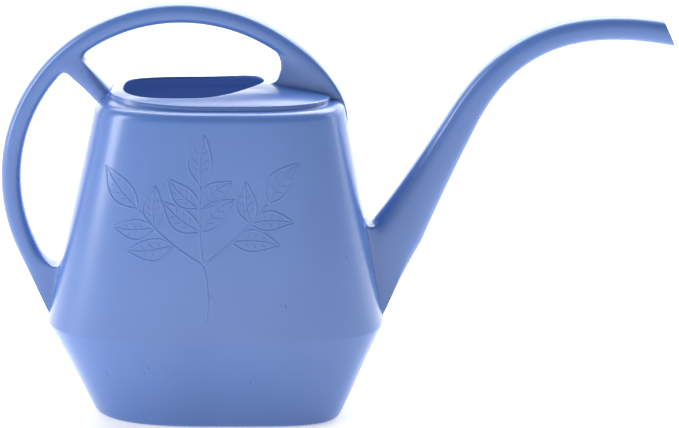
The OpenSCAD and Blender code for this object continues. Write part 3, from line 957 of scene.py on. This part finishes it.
make_piece("base_floor", "base_panel")
make_piece("tub_wall", "tub_shell")
make_piece("body_wall", "body_shell")
make_piece("shoulder_edge", "shoulder")
make_piece("dome_lip", "mouth_dome")
make_piece("handle_front_web", "handle_front_root")
make_piece("handle_grip", "handle_hoop")
make_piece("handle_rear_web", "handle_rear_root")
make_piece("handle_brace", "handle_strut")
make_piece("spout_foot", "spout_root")
make_piece("spout_tube", "spout_neck")
make_piece("spout_curve", "spout_bend")
make_piece("spout_mouthpiece", "spout_tip")

# ---------- raised leaf lines on the two broad faces: a generic spray ----------

RELIEF_W = 0.75  # half width of a line
RELIEF_H = 0.15
RELIEF_SUNK = 0.15
RELIEF_SIDES = 8
RELIEF_TAPER = 2.5  # length of a line's tapered end
VEIN_W = 0.6 * RELIEF_W
RIB_W = 0.8 * RELIEF_W
SPRAY_FOOT = np.array([-4.0, 66.0])
SPRAY_FORK = np.array([-5.0, 101.0])
TRUNK_BOW = (3.0, 18.0)
# The stems fan out from the fork: direction at the start, direction at the tip, length
STEMS = ((150.0, 128.0, 64.0), (98.0, 84.0, 61.0), (36.0, 52.0, 66.0))
STEM_STEPS = 24
SIDE_LEAVES = (0.42, 0.72)  # where pairs of leaves grow, as shares of the stem
LEAF_L = 29.0
LEAF_STEPS = 21
LEAF_SLENDER = 0.23  # half width over length
LEAF_SPREAD = 48.0  # angle between a leaf and its stem
VEINS = (0.25, 0.42, 0.6)  # where pairs of veins leave the rib, as shares of it


def wall_points(flat, side):
    """Points on a broad face of the wall, from their lengthwise positions and heights."""
    out = []
    for x, z in flat:
        shape = wall_outline(z)
        n = shape[4] if x > shape[0] else shape[3]
        out.append((x, side * shape[2] * squircle((x - shape[0]) / shape[1], n), z))
    return np.array(out)


def relief_line(flat, side, width, store):
    """A low rounded bead along a line on the wall, tapered at both ends."""
    step = 0.05
    points = wall_points(flat, side)
    along = unit(np.gradient(points, axis=0))
    normal = unit(side * np.cross(wall_points(flat + [0, step], side) - wall_points(flat - [0, step], side),
                                  wall_points(flat + [step, 0], side) - wall_points(flat - [step, 0], side)))
    across = np.cross(along, normal)
    run = run_along(points)
    ease = np.sqrt((np.minimum(run, run[-1] - run) / RELIEF_TAPER).clip(0.01, 1))[:, None]
    vertices, faces = store
    first, count = len(vertices), len(points)
    for k in range(RELIEF_SIDES):
        a = 2 * math.pi * k / RELIEF_SIDES
        rise = math.sin(a) * (RELIEF_H if math.sin(a) > 0 else RELIEF_SUNK)
        vertices.extend(points + ease * (width * math.cos(a) * across + rise * normal))
    for k in range(RELIEF_SIDES):
        a, b = first + k * count, first + (k + 1) % RELIEF_SIDES * count
        faces.extend((a + i, a + i + 1, b + i + 1, b + i) for i in range(count - 1))
    faces.append([first + k * count for k in range(RELIEF_SIDES)])
    faces.append([first + k * count + count - 1 for k in range(RELIEF_SIDES)][::-1])


def flat_turn(degrees):
    return turn(degrees)[[0, 2]]


def bent_line(start, first_angle, last_angle, length):
    angles = np.linspace(first_angle, last_angle, STEM_STEPS)
    moves = np.array([flat_turn(a) for a in angles]) * length / STEM_STEPS
    return np.concatenate([[start], start + np.cumsum(moves, axis=0)])


def leaf(start, angle, length, side, store):
    """A pointed leaf: two edges, a midrib and slanting veins."""
    t = np.linspace(0, 1, LEAF_STEPS + 1)[:, None]
    out, over = flat_turn(angle), flat_turn(angle + 90)
    swell = np.sin(np.pi * t**0.8) ** 1.1 * LEAF_SLENDER * length
    bow = 0.06 * length * np.sin(np.pi * t)
    rib = start + out * t * length + over * bow
    for hand in (1, -1):
        relief_line(rib + hand * over * swell, side, RELIEF_W, store)
        for share in VEINS:
            k = int(share * LEAF_STEPS)
            reach = 0.8 * swell[k] * np.linspace(0, 1, 7)[:, None]
            relief_line(rib[k] + reach * (hand * over + 0.8 * out), side, VEIN_W, store)
    relief_line(rib[:-1], side, RIB_W, store)


def make_relief(name, side):
    vertices, faces = store = ([], [])
    trunk = bezier(SPRAY_FOOT, SPRAY_FOOT + TRUNK_BOW, SPRAY_FORK, np.linspace(0, 1, 16)[:, None])
    relief_line(trunk, side, RELIEF_W, store)
    for first_angle, last_angle, length in STEMS:
        stem = bent_line(SPRAY_FORK, first_angle, last_angle, length - LEAF_L / 2)
        relief_line(stem, side, RELIEF_W, store)
        for k, share in enumerate(SIDE_LEAVES):
            at = stem[int(share * STEM_STEPS)]
            lean = lerp(first_angle, last_angle, share)
            for hand in (1, -1):
                if k == 0 and hand * (first_angle - 90) < -30:
                    continue  # no room between the stems
                leaf(at, lean + hand * LEAF_SPREAD, LEAF_L * (0.95 - 0.1 * k), side, store)
        leaf(stem[-1], last_angle, LEAF_L, side, store)
    mesh = bpy.data.meshes.new(name)
    mesh.from_pydata([tuple(v * MM) for v in vertices], [], faces)
    mesh.update()
    finish_piece(name, mesh, (), (plastic,))


make_relief("leaf_lines_right", -1)
make_relief("leaf_lines_left", 1)

# ---------- stage ----------

AIM_OFFSET = np.array([2.67, 0, -4.57])  # from the middle of the can's box to the middle of the picture
CAMERA_DISTANCE = 1300.0
CAMERA_HEIGHT_ANGLE = 17.0
LENS = 117.6
SENSOR_W = 36
FRONT_LIGHT = 0.38
BACK_LIGHT = 2.8
TOP_LIGHT = 0.35  # share of the low light that comes from overhead
FLOOR_HALF = 4.0  # metres, like the places and sizes of the lights
FLOOR_Z = -0.0001
FLOOR_WHITE = 0.8
FLOOR_GLOW = 0.42
# Name, place, the point it faces, width, height, watts
SOFTBOXES = (
    ("overhead", (0.05, 0.6, 1.2), (0.05, 0, 0.18), 2.0, 0.8, 30),
    ("left", (-1.0, -0.45, 0.5), (0, 0, 0.12), 0.3, 0.9, 7),
    ("right", (1.2, 0.1, 0.5), (0, 0, 0.12), 0.3, 0.9, 2),
)


def make_floor_plane():
    """A plain pale floor that glows a little, so that it stays white under the can."""
    mesh = bpy.data.meshes.new("studio_floor")
    corners = [(-1, -1), (1, -1), (1, 1), (-1, 1)]
    mesh.from_pydata([(x * FLOOR_HALF, y * FLOOR_HALF, FLOOR_Z) for x, y in corners], [], [(0, 1, 2, 3)])
    material, _, _, shader = shader_nodes("studio_floor")
    set_inputs(shader, Base_Color=(FLOOR_WHITE, FLOOR_WHITE, FLOOR_WHITE, 1), Roughness=0.9,
               Emission_Color=(1, 1, 1, 1), Emission_Strength=FLOOR_GLOW)
    mesh.materials.append(material)
    floor = bpy.data.objects.new("studio_floor", mesh)
    bpy.context.scene.collection.objects.link(floor)


def softbox(name, place, aim, width, height, power):
    light = bpy.data.lights.new(name, "AREA")
    light.shape = "RECTANGLE"
    light.size, light.size_y = width, height
    light.energy = power
    lamp = bpy.data.objects.new(name, light)
    bpy.context.scene.collection.objects.link(lamp)
    lamp.location = place
    lamp.rotation_euler = (Vector(aim) - Vector(place)).to_track_quat("-Z", "Y").to_euler()


def make_world():
    """A white studio: bright low behind the can, softer in front, dim overhead."""
    world = bpy.data.worlds.new("studio")
    bpy.context.scene.world = world
    world.use_nodes = True
    nodes, links = world.node_tree.nodes, world.node_tree.links
    background = nodes["Background"]
    set_inputs(background, Color=(1, 1, 1, 1))
    where = nodes.new("ShaderNodeTexCoord")
    split = nodes.new("ShaderNodeSeparateXYZ")
    links.new(where.outputs["Generated"], split.inputs["Vector"])

    def ramp(axis, low, high, at_low, at_high):
        node = nodes.new("ShaderNodeMapRange")
        node.interpolation_type = "SMOOTHSTEP"
        set_inputs(node, From_Min=low, From_Max=high, To_Min=at_low, To_Max=at_high)
        links.new(split.outputs[axis], node.inputs["Value"])
        return node.outputs["Result"]

    strength = nodes.new("ShaderNodeMath")
    strength.operation = "MULTIPLY"
    links.new(ramp("Y", -0.1, 0.8, FRONT_LIGHT, BACK_LIGHT), strength.inputs[0])
    links.new(ramp("Z", 0.3, 0.8, 1.0, TOP_LIGHT), strength.inputs[1])
    links.new(strength.outputs["Value"], background.inputs["Strength"])


def make_camera():
    aim = np.array([(a + b) / 2 for a, b in zip(*cad_box)]) / MM + AIM_OFFSET
    aim[1] = 0
    back = -turn(-CAMERA_HEIGHT_ANGLE)[[1, 0, 2]]
    camera = bpy.data.objects.new("camera", bpy.data.cameras.new("camera"))
    bpy.context.scene.collection.objects.link(camera)
    camera.location = (aim + CAMERA_DISTANCE * back) * MM
    camera.rotation_euler = (math.radians(90 - CAMERA_HEIGHT_ANGLE), 0, 0)
    camera.data.lens = LENS
    camera.data.sensor_width = SENSOR_W
    camera.data.clip_end = 20
    bpy.context.scene.camera = camera


make_floor_plane()
make_world()
for box in SOFTBOXES:
    softbox(*box)
make_camera()
bpy.context.scene.view_settings.view_transform = "Standard"
